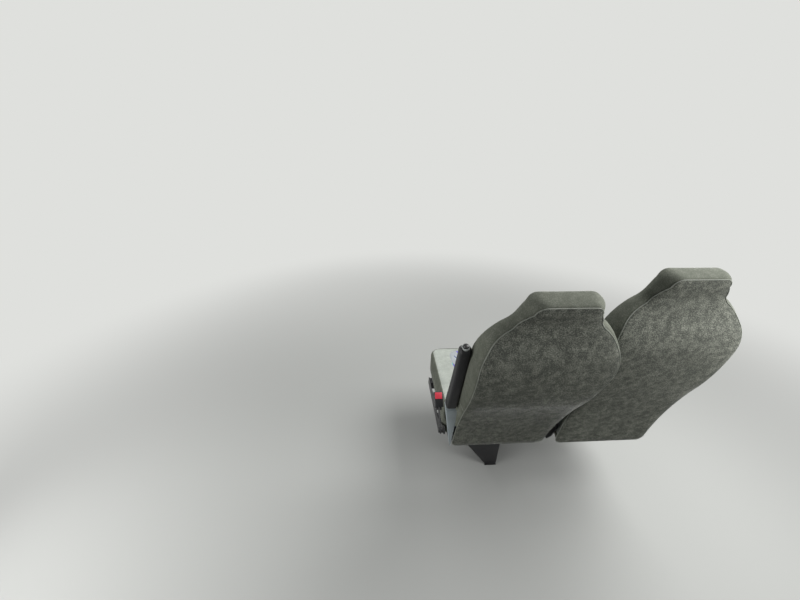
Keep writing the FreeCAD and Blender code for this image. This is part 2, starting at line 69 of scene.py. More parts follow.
# %% Sizes of the places and the backs
seat_height = 0.455
pivot_y = 0.262
pivot_z = 0.405
places = {
    # name: middle x, degrees behind upright, side that faces out
    "aisle": (0.066, 16.0, 1),
    "window": (-0.379, 8.0, -1),
}
bottom_s = -0.060
top_s = 0.775
back_length = top_s - bottom_s
bottom_half = 0.202
bottom_corner = 0.036
shoulder_half = 0.214
shoulder_s = 0.540
shoulder_radius = 0.170
shoulder_angle = 62.0
neck_round = 0.020
neck_s = 0.680
head_half = 0.097
head_corner = 0.022
head_corner_rear = 0.034
rear_depth = 0.112
front_depth = 0.022
rear_profile = [
    # share of the length, share of rear_depth
    (-0.01, 0.50), (0.22, 0.54), (0.43, 0.78), (0.55, 0.95), (0.67, 1.0),
    (0.74, 0.95), (0.80, 0.80), (0.855, 0.58), (0.91, 0.48), (1.01, 0.657),
]
front_profile = [
    # share of the length, share of front_depth, to the front
    (-0.01, -0.56), (0.15, 0.73), (0.31, 1.0), (0.51, 0.27), (0.705, -0.36),
    (0.79, -0.34), (0.855, -0.23), (1.01, 0.112),
]
print("back", round(back_length, 3), "long and", 2 * shoulder_half, "wide at its shoulders")

# %% [markdown]
# ## Camera
# The photograph was taken from the bench behind, with a wide lens. The camera stands at the place that
# was solved from the bus's straight lines: turned to the front, pitched down, and rolled by a degree.

# %% Camera
camera_place = (0.563, 1.25, 1.524)
camera_pitch = 27.083        # degrees below level
camera_heading = 175.864     # degrees about Z, from +Y
camera_roll = 1.222

camera_data = bpy.data.cameras.new("camera")
camera_data.sensor_width = 36.0
camera_data.lens = 14.926
camera = bpy.data.objects.new("camera", camera_data)
bpy.context.scene.collection.objects.link(camera)
camera.matrix_world = (
    Matrix.Translation(camera_place)
    @ Matrix.Rotation(math.radians(camera_heading), 4, "Z")
    @ Matrix.Rotation(math.radians(90 - camera_pitch), 4, "X")
    @ Matrix.Rotation(math.radians(camera_roll), 4, "Z")
)
bpy.context.scene.camera = camera
bpy.context.scene.view_settings.view_transform = "Standard"
print("camera at", camera_place)

# %% [markdown]
# ## How a material is written down
# A colour is an sRGB hex value, as it would be read off a sample card, and one function turns it to the
# linear colour that a shader takes. A pattern's scale comes from the size of its grain in millimetres.
# One small function adds a node with its settings and its links.

# %% Helpers for materials
SHARE, FIRST, SECOND = 0, 6, 7       # sockets of a Mix node that mixes colours


def linear(hex_colour):
    channels = [int(hex_colour[start:start + 2], 16) / 255 for start in (1, 3, 5)]
    return [c / 12.92 if c <= 0.04045 else ((c + 0.055) / 1.055) ** 2.4 for c in channels] + [1.0]


def grain(size_mm):
    """Scale of a noise or cell texture whose grain is this wide."""
    return 1000.0 / size_mm


def add(material, kind, sockets=None, **settings):
    """Adds a node. A socket gets a number, a colour, an output, or a node, which gives its first output."""
    tree = material.node_tree
    node = tree.nodes.new("ShaderNode" + kind)
    for name, value in settings.items():
        setattr(node, name, value)
    for socket, value in (sockets or {}).items():
        if isinstance(value, bpy.types.Node):
            value = next(output for output in value.outputs if output.enabled)
        if isinstance(value, bpy.types.NodeSocket):
            tree.links.new(value, node.inputs[socket])
        else:
            node.inputs[socket].default_value = value
    return node


def new_material(name):
    material = bpy.data.materials.new(name)
    material.use_nodes = True
    material.node_tree.nodes.clear()
    return material


def finish_material(material, sockets, height, depth):
    """Joins the shader to the output, with a bump from a pattern's height."""
    relief = add(material, "Bump", {"Height": height, "Distance": depth, "Strength": 1.0})
    shader = add(material, "BsdfPrincipled", {**sockets, "Normal": relief})
    add(material, "OutputMaterial", {"Surface": shader})
    return material


print("a mid grey of #808080 is", round(linear("#808080")[0], 3), "in linear light")

# %% [markdown]
# ## Velour
# Seat velour is a knitted cloth with a short cut pile. It has no gloss. Its pile catches light at
# grazing angles, which sheen gives, and lighter yarns make a heather of small flecks. The flecks are
# drawn about 3 mm wide, coarser than the yarn, because finer ones don't show at this distance. Broad
# patches where the pile was brushed another way are a little darker or lighter.

# %% Velour
cluster_mm = 22.0            # a cluster of fleck yarns
brushed_mm = 130.0           # a patch that was brushed one way


def velour_colour(material, place, ground, fleck, fleck_mm, amount):
    """Ground and fleck yarns in clusters, with the broad shading of the brushed pile."""
    yarn = add(material, "TexNoise", {"Vector": place, "Scale": grain(fleck_mm), "Detail": 3.0,
                                      "Roughness": 0.7})
    cluster = add(material, "TexNoise", {"Vector": place, "Scale": grain(cluster_mm), "Detail": 2.0})
    threshold = add(material, "MapRange", {"Value": cluster, "From Min": 0.35, "From Max": 0.65,
                                           "To Min": 0.07, "To Max": -0.04})
    shown = add(material, "Math", {0: yarn, 1: threshold}, operation="SUBTRACT")
    share = add(material, "MapRange", {"Value": shown, "From Min": 0.42, "From Max": 0.66,
                                       "To Max": amount})
    heather = add(material, "Mix", {SHARE: share, FIRST: linear(ground), SECOND: linear(fleck)},
                  data_type="RGBA")
    brushed = add(material, "TexNoise", {"Vector": place, "Scale": grain(brushed_mm), "Detail": 1.0})
    light = add(material, "MapRange", {"Value": brushed, "From Min": 0.3, "From Max": 0.7,
                                       "To Min": 0.86, "To Max": 1.10})
    colour = add(material, "VectorMath", {0: heather, "Scale": light}, operation="SCALE")
    return colour, yarn


def velour(name, ground, fleck, fleck_mm, amount, sheen):
    material = new_material(name)
    place = add(material, "TexCoord").outputs["Object"]
    colour, yarn = velour_colour(material, place, ground, fleck, fleck_mm, amount)
    return finish_material(material, {
        "Base Color": colour, "Roughness": 0.92, "Specular IOR Level": 0.1,
        "Sheen Weight": sheen, "Sheen Roughness": 0.14}, yarn, 0.0007)


rear_velour = velour("velour_heather_charcoal", "#454742", "#8a8c81", 3.2, 0.8, 0.7)
piping_cloth = velour("welt_cloth_grey", "#7d8078", "#9a9c93", 1.8, 0.6, 0.3)
print("velours", rear_velour.name, piping_cloth.name)

# %% [markdown]
# ## The seat cover's three cloths
# One cover is sewn from plain boxing, light velour borders and a patterned centre. Two numbers on each
# point of the mesh say how far it lies inside the seam of the front panel and of the centre. The shader
# changes cloth where they pass zero, which gives a clean line however coarse the mesh is. The centre has
# a plain bus pattern on the flat cut of the cloth: slim ovals in violet, navy and grey and teal
# crescents, each about as long as a finger or a hand. A grid of cells sets the motifs out, one in a
# share of the cells.

# %% Pattern of the centre
def motif_offsets(material, cut, turn, cell_mm):
    """Each cell of a turned grid has one motif. Gives the way to it in mm, and the cell's own number."""
    turned = add(material, "Mapping", {"Vector": cut, "Rotation": (0, 0, math.radians(turn)),
                                       "Scale": (grain(cell_mm[0]), grain(cell_mm[1]), 1.0)})
    cells = add(material, "TexVoronoi", {"Vector": turned, "Scale": 1.0, "Randomness": 0.35},
                voronoi_dimensions="2D")
    away = add(material, "VectorMath", {0: turned, 1: cells.outputs["Position"]}, operation="SUBTRACT")
    in_mm = add(material, "VectorMath", {0: away, 1: (*cell_mm, 0.0)}, operation="MULTIPLY")
    number = add(material, "SeparateColor", {"Color": cells.outputs["Color"]})
    return in_mm, number


def inside_oval(material, away, half_mm, shift_mm=(0.0, 0.0)):
    """1 inside an oval, 0 outside, from the way to its centre in mm."""
    moved = add(material, "VectorMath", {0: away, 1: (*shift_mm, 0.0)}, operation="SUBTRACT")
    scaled = add(material, "VectorMath", {0: moved, 1: (*half_mm, 1.0)}, operation="DIVIDE")
    size = add(material, "VectorMath", {0: scaled}, operation="LENGTH")
    return add(material, "MapRange", {"Value": size, "From Min": 1.0, "From Max": 0.96})


def motifs(material, ground, cut, colour, turn, cell_mm, half_mm, keep, bite_mm=None):
    """Prints ovals of one colour on the ground in a share of the cells. A bite makes them crescents."""
    away, number = motif_offsets(material, cut, turn, cell_mm)
    shape = inside_oval(material, away, half_mm)
    if bite_mm:
        bite = inside_oval(material, away, half_mm, bite_mm)
        shape = add(material, "Math", {0: shape, 1: bite}, operation="SUBTRACT", use_clamp=True)
    kept = add(material, "Math", {0: number, 1: keep}, operation="LESS_THAN")
    shown = add(material, "Math", {0: shape, 1: kept}, operation="MULTIPLY")
    return add(material, "Mix", {SHARE: shown, FIRST: ground, SECOND: linear(colour)}, data_type="RGBA")


motif_rows = [
    # colour, turned by, cell in mm, half size in mm, share of the cells, bite of a crescent in mm
    ("#7f8588", 28, (62.0, 96.0), (6.0, 40.0), 0.75, None),
    ("#6f62b4", -20, (58.0, 120.0), (4.0, 52.0), 0.62, None),
    ("#2a3a72", -34, (44.0, 74.0), (2.6, 26.0), 0.55, None),
    ("#3fc9c3", 16, (84.0, 110.0), (15.0, 34.0), 0.62, (8.0, 5.0)),
]
print("kinds of motif", len(motif_rows))

# %% Seat cover
def seat_cover(name):
    material = new_material(name)
    cut = add(material, "Attribute", attribute_name="cut").outputs["Vector"]
    place = add(material, "TexCoord").outputs["Object"]
    front = add(material, "Attribute", attribute_name="front").outputs["Fac"]
    centre = add(material, "Attribute", attribute_name="centre").outputs["Fac"]
    boxing, yarn = velour_colour(material, place, "#565950", "#7b7d73", 3.0, 0.6)
    border, _ = velour_colour(material, place, "#9ea39b", "#bfc2bb", 3.0, 0.7)
    ground, _ = velour_colour(material, place, "#9ba0a3", "#b7bbbc", 3.0, 0.7)
    for colour, turn, cell_mm, half_mm, keep, bite_mm in motif_rows:
        ground = motifs(material, ground, cut, colour, turn, cell_mm, half_mm, keep, bite_mm)
    cloth = border
    for inside, other, outer in ((centre, ground, False), (front, boxing, True)):
        share = add(material, "MapRange", {"Value": inside, "From Min": -0.0004, "From Max": 0.0004})
        first, second = (other, cloth) if outer else (cloth, other)
        cloth = add(material, "Mix", {SHARE: share, FIRST: first, SECOND: second}, data_type="RGBA")
    return finish_material(material, {
        "Base Color": cloth, "Roughness": 0.9, "Specular IOR Level": 0.1,
        "Sheen Weight": 0.7, "Sheen Roughness": 0.14}, yarn, 0.0005)


cover_cloth = seat_cover("seat_cover_velours")
print("cover", cover_cloth.name, "has", len(cover_cloth.node_tree.nodes), "nodes")

# %% [markdown]
# ## Metals, plastics and webbing
# The frame is mild steel with black powder coat, which has a fine orange peel. Hinges and pins are zinc
# plated: dull, a little patchy. The cover beside the back is grained polypropylene. The armrest is
# self-skinned polyurethane foam with a leather-like grain. Buckles are moulded ABS, and the belt is
# polyester webbing with ribs along its length.

# %% Hard materials
dust_mm = 60.0               # a patch of dust or wear


def surface(name, colour, dusty, roughness, grain_mm, depth, metallic=0.0, cells=False, specular=0.5):
    """A hard surface: its grain gives the bump, and a broad noise lets dust or wear change it a little."""
    material = new_material(name)
    place = add(material, "TexCoord").outputs["Object"]
    height = add(material, "TexVoronoi" if cells else "TexNoise", {"Vector": place,
                                                                   "Scale": grain(grain_mm)})
    broad = add(material, "TexNoise", {"Vector": place, "Scale": grain(dust_mm), "Detail": 5.0})
    share = add(material, "MapRange", {"Value": broad, "From Min": 0.45, "From Max": 0.75,
                                       "To Max": 0.35})
    rough = add(material, "MapRange", {"Value": broad, "From Min": 0.3, "From Max": 0.7,
                                       "To Min": roughness - 0.07, "To Max": roughness + 0.07})
    tint = add(material, "Mix", {SHARE: share, FIRST: linear(colour), SECOND: linear(dusty)},
               data_type="RGBA")
    return finish_material(material, {"Base Color": tint, "Roughness": rough, "Metallic": metallic,
                                      "Specular IOR Level": specular}, height, depth)


powder_coat = surface("powder_coated_steel", "#19191b", "#3a3a3a", 0.45, 1.6, 0.0001)
zinc_plate = surface("zinc_plated_steel", "#8f9498", "#b4b7b8", 0.38, 3.0, 0.0001, metallic=1.0)
cover_plastic = surface("grained_polypropylene", "#8a9396", "#a3aaab", 0.52, 1.4, 0.00015, cells=True)
hub_plastic = surface("grained_polypropylene_dark", "#565c58", "#6e746f", 0.55, 1.4, 0.00015, cells=True)
armrest_skin = surface("polyurethane_skin", "#131315", "#252527", 0.50, 2.2, 0.0003, cells=True,
                       specular=0.28)
black_abs = surface("moulded_abs_black", "#131315", "#2a2a2c", 0.34, 1.2, 0.00005)
red_abs = surface("moulded_abs_red", "#c22f40", "#d05a66", 0.32, 1.2, 0.00004)
grey_abs = surface("moulded_abs_grey", "#8b8f8d", "#a2a5a3", 0.40, 1.2, 0.00004)
sleeve = surface("polyethylene_sleeve", "#1b1b1d", "#333335", 0.5, 1.5, 0.0001)
plated_steel = surface("bright_plated_steel", "#7e8386", "#939799", 0.32, 4.0, 0.00003, metallic=1.0)
print("materials so far", len(bpy.data.materials))

# %% Webbing
def belt_webbing(name):
    material = new_material(name)
    place = add(material, "TexCoord").outputs["Object"]
    ribs = add(material, "TexWave", {"Vector": place, "Scale": grain(6.0) / 6.283, "Distortion": 0.3},
               wave_type="BANDS", bands_direction="X")
    twill = add(material, "TexWave", {"Vector": place, "Scale": grain(4.0) / 6.283, "Distortion": 0.2},
                wave_type="BANDS", bands_direction="DIAGONAL")
    weave = add(material, "Math", {0: ribs.outputs["Fac"], 1: twill.outputs["Fac"]}, operation="ADD")
    share = add(material, "MapRange", {"Value": weave, "From Min": 0.4, "From Max": 1.7})
    tint = add(material, "Mix", {SHARE: share, FIRST: linear("#151517"), SECOND: linear("#3a3a3e")},
               data_type="RGBA")
    return finish_material(material, {"Base Color": tint, "Roughness": 0.62, "Sheen Weight": 0.15},
                           weave, 0.0004)


webbing_cloth = belt_webbing("polyester_webbing")
print("webbing", webbing_cloth.name)

# %% [markdown]
# ## CAD nodes that keep their shape
# Rails, brackets, pins and hinge plates already have the right shape, so they only get their finish, by the
# slots of their objects.

# %% Finish of the CAD nodes
def paint(material, *names):
    for name in names:
        for slot in frame["nodes"][name].material_slots:
            slot.material = material


paint(powder_coat, "cross_rail_front", "cross_rail_rear", "wall_plate", "cushion_pan_aisle",
      "cushion_pan_window", "buckle_anchor_aisle", "buckle_anchor_centre")
paint(hub_plastic, "armrest_carrier")
for place in places:
    paint(zinc_plate, "pivot_pin_" + place)
    for where in ("inner", "outer"):
        paint(powder_coat, "pivot_bracket_" + place + "_" + where)
        paint(zinc_plate, "hinge_plate_" + place + "_" + where)
print("objects with powder coat", powder_coat.users, "and with zinc", zinc_plate.users)

# %% [markdown]
# ## CAD nodes with rounded edges
# A pressed or moulded part has no knife edges, and a small radius catches a line of light. The node's
# mesh is loose triangles, so a copy is merged and its flat faces joined first. Then every hard edge is
# bevelled by its own small radius, and the copy stands for the node.

# %% Rounded edges
def finished(bm, name, material, smooth_degrees=35):
    """Makes the mesh an object at the origin, with smooth shading that stops at hard edges."""
    mesh = bpy.data.meshes.new(name)
    bm.to_mesh(mesh)
    bm.free()
    mesh.materials.append(material)
    mesh.shade_smooth()
    mesh.set_sharp_from_angle(angle=math.radians(smooth_degrees))
    piece = bpy.data.objects.new(name, mesh)
    bpy.context.scene.collection.objects.link(piece)
    return piece


def bevel(bm, geom, radius, segments, affect="EDGES", clamp=False):
    bmesh.ops.bevel(bm, geom=geom, offset=radius, segments=segments, profile=0.5,
                    affect=affect, material=-1, clamp_overlap=clamp)


HARD_ANGLE = 30              # degrees, from which an edge counts as hard


def rounded_copy(node, name, material, radius, body):
    bm = bmesh.new()
    bm.from_mesh(frame["nodes"][node].data)
    bmesh.ops.remove_doubles(bm, verts=bm.verts, dist=0.00001)
    bmesh.ops.dissolve_limit(bm, angle_limit=math.radians(1), verts=bm.verts, edges=bm.edges)
    hard = [e for e in bm.edges if e.is_manifold and e.calc_face_angle() > math.radians(HARD_ANGLE)]
    bevel(bm, hard, radius, 3, clamp=True)
    piece = finished(bm, name, material)
    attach(piece, body)
    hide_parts(node)


print("edges over", HARD_ANGLE, "degrees are rounded")

# %% Rounded copies
copies = [
    # node, how its surface was made, material, radius, body
    ("foot_plate", "coated", powder_coat, 0.0012, "seat_frame"),
    ("pedestal_front_post", "coated", powder_coat, 0.0008, "seat_frame"),
    ("pedestal_rear_post", "coated", powder_coat, 0.0008, "seat_frame"),
    ("pedestal_web", "coated", powder_coat, 0.0008, "seat_frame"),
    ("side_arm", "coated", powder_coat, 0.0012, "seat_frame"),
    ("side_cover", "moulded", cover_plastic, 0.0035, "aisle_back"),
]
for row in (("stalk", "sleeved", sleeve, 0.0014), ("body", "moulded", black_abs, 0.0025),
            ("button", "moulded", red_abs, 0.0012)):
    for where, body in (("_aisle", "aisle_buckle"), ("_centre", "seat_frame")):
        copies.append(("buckle_" + row[0] + where, *row[1:], body))
for place in places:
    copies += [
        ("recliner_hub_" + place, "turned", zinc_plate, 0.0012, "seat_frame"),
        ("retractor_" + place, "moulded", black_abs, 0.004, "seat_frame"),
        ("belt_tongue_" + place, "plated", plated_steel, 0.0009, "seat_frame"),
    ]
for node, made, material, radius, body in copies:
    rounded_copy(node, node + "_" + made, material, radius, body)
print("rounded copies", len(copies))

# %% [markdown]
# ## Screws and caps on the hinges
# Two M8 screws with washers hold each hinge plate to the frame inside the back. A hexagonal head is 13 mm
# across its flats and 5.3 mm high. A cone with six sides and equal ends is that shape, one with many sides
# is the washer, and stepped discs make the plastic cap over the window seat's recliner hub.

# %% Screws and caps
hinge_face = 0.184           # outer side of a hinge plate, from the back's middle
screw_rows = (0.045, 0.080)  # along the hinge plate, from the pivot
hub_face = 0.2005
washer_and_head = [
    # sides, radius, from the plate, to
    (32, 0.0085, 0.0, 0.0015), (6, 0.013 / math.sqrt(3), 0.0015, 0.0068),
]
hub_cap_discs = [(48, 0.0210, 0.0, 0.0040), (48, 0.0100, 0.0040, 0.0055)]


def stand_up(place):
    """From a back's own frame to the seat's frame."""
    middle_x, degrees, _ = places[place]
    return (Matrix.Translation((middle_x, pivot_y, pivot_z))
            @ Matrix.Rotation(math.radians(-degrees), 4, "X"))


def discs_on(bm, rows, side, face, y, z):
    """Stands discs on each other on a face that looks to one side."""
    for sides, radius, low, high in rows:
        place = Matrix.Translation((side * (face + (low + high) / 2), y, z))
        bmesh.ops.create_cone(bm, cap_ends=True, segments=sides, radius1=radius, radius2=radius,
                              depth=high - low, matrix=place @ Matrix.Rotation(math.radians(90), 4, "Y"))


def soften_rims(bm, radius):
    hard = [e for e in bm.edges if e.calc_face_angle() > math.radians(40)]
    bevel(bm, hard, radius, 2, clamp=True)


for place, (_, _, outward) in places.items():
    for where, side in (("outer", outward), ("inner", -outward)):
        bm = bmesh.new()
        for s in screw_rows:
            discs_on(bm, washer_and_head, side, hinge_face, 0, s)
        soften_rims(bm, 0.0004)
        bm.transform(stand_up(place))
        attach(finished(bm, "hinge_screws_" + place + "_" + where, zinc_plate), place + "_back")
bm = bmesh.new()
discs_on(bm, hub_cap_discs, -1, hub_face - places["window"][0], pivot_y, pivot_z)
soften_rims(bm, 0.0012)
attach(finished(bm, "hub_cap_window", black_abs), "seat_frame")
print("screws on the hinge plates", 4 * len(screw_rows))

# %% [markdown]
# ## The outline of a back
# A pen draws half of the outline: extruding its last point makes a straight run, and spinning it about a
# centre makes a true arc. The half is mirrored and filled. An inset moves every run inwards by the same
# amount, because the radii shrink with it.

# %% Outline of a back
ARC_STEPS = 10


def line_through(bm, spots):
    """Draws a line from spot to spot and gives its points. It may start at a point of the mesh."""
    pens = [spots[0] if isinstance(spots[0], bmesh.types.BMVert) else bm.verts.new(spots[0])]
    for spot in spots[1:]:
        pens += bmesh.ops.extrude_vert_indiv(bm, verts=[pens[-1]])["verts"]
        pens[-1].co = spot
    return pens


def only_verts(geom):
    return [item for item in geom if isinstance(item, bmesh.types.BMVert)]


def arc_round(bm, pen, centre_x, centre_s, degrees):
    arc = bmesh.ops.spin(bm, geom=[pen], cent=(centre_x, 0, centre_s), axis=(0, -1, 0),
                         angle=math.radians(degrees), steps=ARC_STEPS)
    return only_verts(arc["geom_last"])[0]


def half_outline(inset):
    bm = bmesh.new()
    low_radius = bottom_corner - inset
    low_x = bottom_half - inset - low_radius
    head_radius = max(head_corner - inset, 0.006)
    head_x = head_half - inset - head_radius
    head_s = top_s - inset - head_radius
    pen = line_through(bm, [(0, 0, bottom_s), (low_x, 0, bottom_s)])[-1]
    pen = arc_round(bm, pen, low_x, bottom_s + low_radius, 90)
    pen = line_through(bm, [pen, (shoulder_half - inset, 0, shoulder_s)])[-1]
    neck = arc_round(bm, pen, shoulder_half - shoulder_radius, shoulder_s, shoulder_angle)
    pen = line_through(bm, [neck, (head_x + head_radius, 0, head_s)])[-1]
    pen = arc_round(bm, pen, head_x, head_s, 90)
    line_through(bm, [pen, (0, 0, top_s - inset)])
    bevel(bm, [neck], neck_round, 6, "VERTICES")
    return bm


def whole_outline(inset):
    bm = half_outline(inset)
    bmesh.ops.mirror(bm, geom=bm.verts[:] + bm.edges[:], axis="X", merge_dist=0.0001)
    return bm


sample = whole_outline(0.0)
print("outline points", len(sample.verts))
sample.free()

# %% [markdown]
# ## From an outline to a curved body
# The filled outline is extruded one metre deep, far more than the back, so the front and the rear part
# are easy to tell apart. Its two rims are rounded and it is sliced across. Then the front part moves to
# the front profile and the rear part to the rear profile, and each point keeps its distance behind or
# before its own face, so the rounded rims keep their true radius. The walls between them are cut by
# planes, which lets them bulge: a boxing strip is sewn along both its edges and is full between them.
# The corners of the head open to a larger radius on the way to the rear, where foam wears rounder.

# %% Profiles
def parabola(points, at):
    """The curve through three points, which stays close to a shallow arc through them."""
    total = 0.0
    for share, value in points:
        others = [other for other, _ in points if other != share]
        total += value * math.prod((at - other) / (share - other) for other in others)
    return total


def profile_at(profile, s):
    share = (s - bottom_s) / back_length
    for start in range(0, len(profile) - 2, 2):
        if share <= profile[start + 2][0]:
            return parabola(profile[start:start + 3], share)
    (low, first), (high, last) = profile[-2:]
    return first + (last - first) * (share - low) / (high - low)


def front_b(s):
    return -front_depth * profile_at(front_profile, s)


def rear_b(s):
    return rear_depth * profile_at(rear_profile, s)


print("depth at the shoulders", round(rear_b(shoulder_s) - front_b(shoulder_s), 3))

# %% Corners of the head
def clamped(value):
    return min(max(value, 0), 1)


def rounder_head(x, s, radius, inset=0.0):
    """Opens the corners of the head to a larger radius, on an outline that lies this far inside."""
    at_head = clamped((s - neck_s) / (top_s - head_corner - neck_s))
    place = []
    for value, reach, start in ((abs(x), head_half, 0.0), (s, top_s, neck_s)):
        past = value - (reach - head_corner)
        if past > 0:
            place.append(reach - radius + past * (radius - inset) / (head_corner - inset))
        else:
            place.append(start + (value - start) * (reach - radius - start) / (reach - head_corner - start))
    return x + (math.copysign(place[0], x) - x) * at_head, place[1] if s > neck_s else s


print("a head corner opens from", head_corner, "to", head_corner_rear)

# %% Body between two profiles
def slice_across(bm, axis, step, low, high):
    """Cuts the mesh by planes that stand a step apart, so that it can bend."""
    normal = Vector((0, 0, 0))
    normal[axis] = 1
    for number in range(1, round((high - low) / step)):
        bmesh.ops.bisect_plane(bm, geom=bm.verts[:] + bm.edges[:] + bm.faces[:],
                               plane_co=normal * (low + number * step), plane_no=normal)


def round_rim(bm, depth, radius):
    rim = [e for e in bm.edges if all(abs(v.co.y - depth) < 1e-6 for v in e.verts)]
    bevel(bm, rim, radius, 4)


def fill_and_extrude(bm, depth):
    bmesh.ops.edgeloop_fill(bm, edges=bm.edges)
    deep = bmesh.ops.extrude_face_region(bm, geom=bm.faces[:])
    bmesh.ops.translate(bm, verts=only_verts(deep["geom"]), vec=(0, depth, 0))


wall_start, wall_end = 0.2, 0.8      # where the walls lie on the one metre depth
wall_step = 0.2
head_rise = 0.03                     # above the neck, over which the head's own bulge sets in
no_bulge = [(0.0, 0.0), (0.5, 0.0), (1.0, 0.0)]


def curved_body(outline, front, rear, front_rim, rear_rim, step, bulge=no_bulge, head_bulge=0.0,
                head_front=head_corner, inset=0.0):
    fill_and_extrude(outline, 1)
    round_rim(outline, 0.0, front_rim)
    round_rim(outline, 1.0, rear_rim)
    slice_across(outline, 2, step, bottom_s, top_s)
    slice_across(outline, 0, 2 * step, -shoulder_half, shoulder_half)
    slice_across(outline, 1, wall_step, wall_start - wall_step / 2, wall_end + wall_step / 2)
    bmesh.ops.recalc_face_normals(outline, faces=outline.faces)
    outline.normal_update()
    for vert in outline.verts:
        y, s = vert.co.y, vert.co.z
        share = clamped((y - wall_start) / (wall_end - wall_start))
        near, far = front(s), rear(s)
        if y < wall_start:
            b = near + y
        elif y > wall_end:
            b = far - (1 - y)
        else:
            b = near + front_rim + (far - rear_rim - near - front_rim) * share
        out = parabola(bulge, share)
        fuller = head_bulge * clamped((s - neck_s) / head_rise) * 4 * share * (1 - share)
        corner = head_front + (head_corner_rear - head_front) * share
        x, s_here = rounder_head(vert.co.x, s, corner, inset)
        vert.co = (x + vert.normal.x * (out + fuller), b, s_here + vert.normal.z * out)
    bmesh.ops.recalc_face_normals(outline, faces=outline.faces)
    return outline


print("walls lie from", wall_start, "to", wall_end, "of the depth")

# %% [markdown]
# ## Stuffing
# A cover over foam is made the way it is made in the workshop: a slightly small form is remeshed evenly,
# and pressure fills it. No point may move farther than a cap, so the silhouette stays true. The result is
# kept as a plain mesh, and one subdivision smooths it.

# %% Stuffing with pressure
def keep_result(piece):
    """Makes the piece's mesh what its modifiers give, and takes them off."""
    graph = bpy.context.evaluated_depsgraph_get()
    result = bpy.data.meshes.new_from_object(piece.evaluated_get(graph))
    piece.modifiers.clear()
    piece.data = result


cover_voxel = 0.0068
cover_cap = 0.005
cover_pressure = 4.0
cover_frames = 20


def stuffed(piece, pinned):
    remesh = piece.modifiers.new("even", "REMESH")
    remesh.mode = "VOXEL"
    remesh.voxel_size = cover_voxel
    keep_result(piece)
    rest = [vert.co.copy() for vert in piece.data.vertices]
    held = piece.vertex_groups.new(name="held")
    held.add([v.index for v in piece.data.vertices if pinned(v.co)], 1.0, "REPLACE")
    cloth = piece.modifiers.new("fill", "CLOTH")
    settings = cloth.settings
    settings.vertex_group_mass = "held"
    settings.use_pressure = True
    settings.uniform_pressure_force = cover_pressure
    settings.effector_weights.gravity = 0
    settings.quality = 4
    cloth.point_cache.frame_end = cover_frames
    for number in range(1, cover_frames + 1):
        bpy.context.scene.frame_set(number)
    keep_result(piece)
    bpy.context.scene.frame_set(1)
    for vert, start in zip(piece.data.vertices, rest):
        step = vert.co - start
        if step.length > cover_cap:
            vert.co = start + step.normalized() * cover_cap
    piece.vertex_groups.clear()
    smooth = piece.modifiers.new("smooth", "SUBSURF")
    smooth.levels = smooth.render_levels = 1
    keep_result(piece)
    piece.data.shade_smooth()


print("a cover is stuffed in", cover_frames, "steps and swells", cover_cap, "at most")

# %% [markdown]
# ## Seams and cloths on a cover
# Each point gets its place on the flat cut and its distances inside the two seams. The cloth is drawn
# down along both seams, as a sewn line does.

# %% Seams
back_cut = {"aisle": (0.0, 0.0), "window": (0.53, 0.21)}
cushion_cut = {"aisle": (0.27, 1.13), "window": (0.91, 1.47)}
SEAM_WIDTH = 0.0042
SEAM_DEPTH = 0.0030
BEYOND_FRONT = -0.02         # given to points on the boxing and the far side
BEYOND_CENTRE = -0.05


def inside_rounded(u, v, half_u, half_v, radius):
    """How far a point lies inside a rounded rectangle about the origin. Outside it is negative."""
    over_u = abs(u) - (half_u - radius)
    over_v = abs(v) - (half_v - radius)
    return radius - math.hypot(max(over_u, 0), max(over_v, 0)) - min(max(over_u, over_v), 0)


def sew(piece, measure, shift):
    """measure gives, for a point, its place on the cut and how far it lies inside each seam.
    Each piece is cut from another part of the cloth, which shift gives."""
    mesh = piece.data
    rows = [measure(vert.co) for vert in mesh.vertices]
    cut = mesh.attributes.new("cut", "FLOAT_VECTOR", "POINT")
    cut.data.foreach_set("vector", [value for u, v, _, _ in rows
                                    for value in (u + shift[0], v + shift[1], 0)])
    for name, column in (("front", 2), ("centre", 3)):
        attribute = mesh.attributes.new(name, "FLOAT", "POINT")
        attribute.data.foreach_set("value", [row[column] for row in rows])
    normals = [vert.normal.copy() for vert in mesh.vertices]
    for vert, normal, (_, _, front, centre) in zip(mesh.vertices, normals, rows):
        nearest = min(abs(front), abs(centre) if front > 0 else 1.0)
        vert.co -= normal * SEAM_DEPTH * math.exp(-(nearest / SEAM_WIDTH) ** 2)


print("a seam draws the cloth down by", SEAM_DEPTH)

# %% [markdown]
# ## The covers of the two backs
# Each cover is the whole body of a back: front panel, boxing and the rear rim that turns in to the rear
# panel. The notches for the hinge plates are cut from the form before it is stuffed.

# %% Sizes and seams of a back cover
notch_half = 0.180
notch_top = 0.110
cover_front_rim = 0.010
cover_rear_rim = 0.007
rear_recess = 0.007          # rear face of the cover before the rear panel's face
boxing_bulge = [
    # share from the front rim to the rear seam, metres out of the outline
    (0.0, 0.004), (0.55, 0.005), (1.0, 0.0005),
]
head_bulge = 0.007
front_seam = 0.019           # silhouette to the seam of the front panel
centre_half = 0.120
centre_corner = 0.050
centre_low = 0.020
centre_high = 0.600
centre_middle = (centre_low + centre_high) / 2
seam_band = 0.004            # what the stitching holds while the cover is stuffed


def outline_tree():
    """Points every few millimetres along the outline, to measure how far a point lies inside it."""
    dense = whole_outline(0.0)
    long = [e for e in dense.edges if e.calc_length() > 0.006]
    bmesh.ops.subdivide_edges(dense, edges=long, cuts=60)
    tree = kdtree.KDTree(len(dense.verts))
    for number, vert in enumerate(dense.verts):
        tree.insert(vert.co, number)
    tree.balance()
    dense.free()
    return tree


outline_points = outline_tree()


def inside_outline(x, s):
    return outline_points.find((x, 0, s))[2]


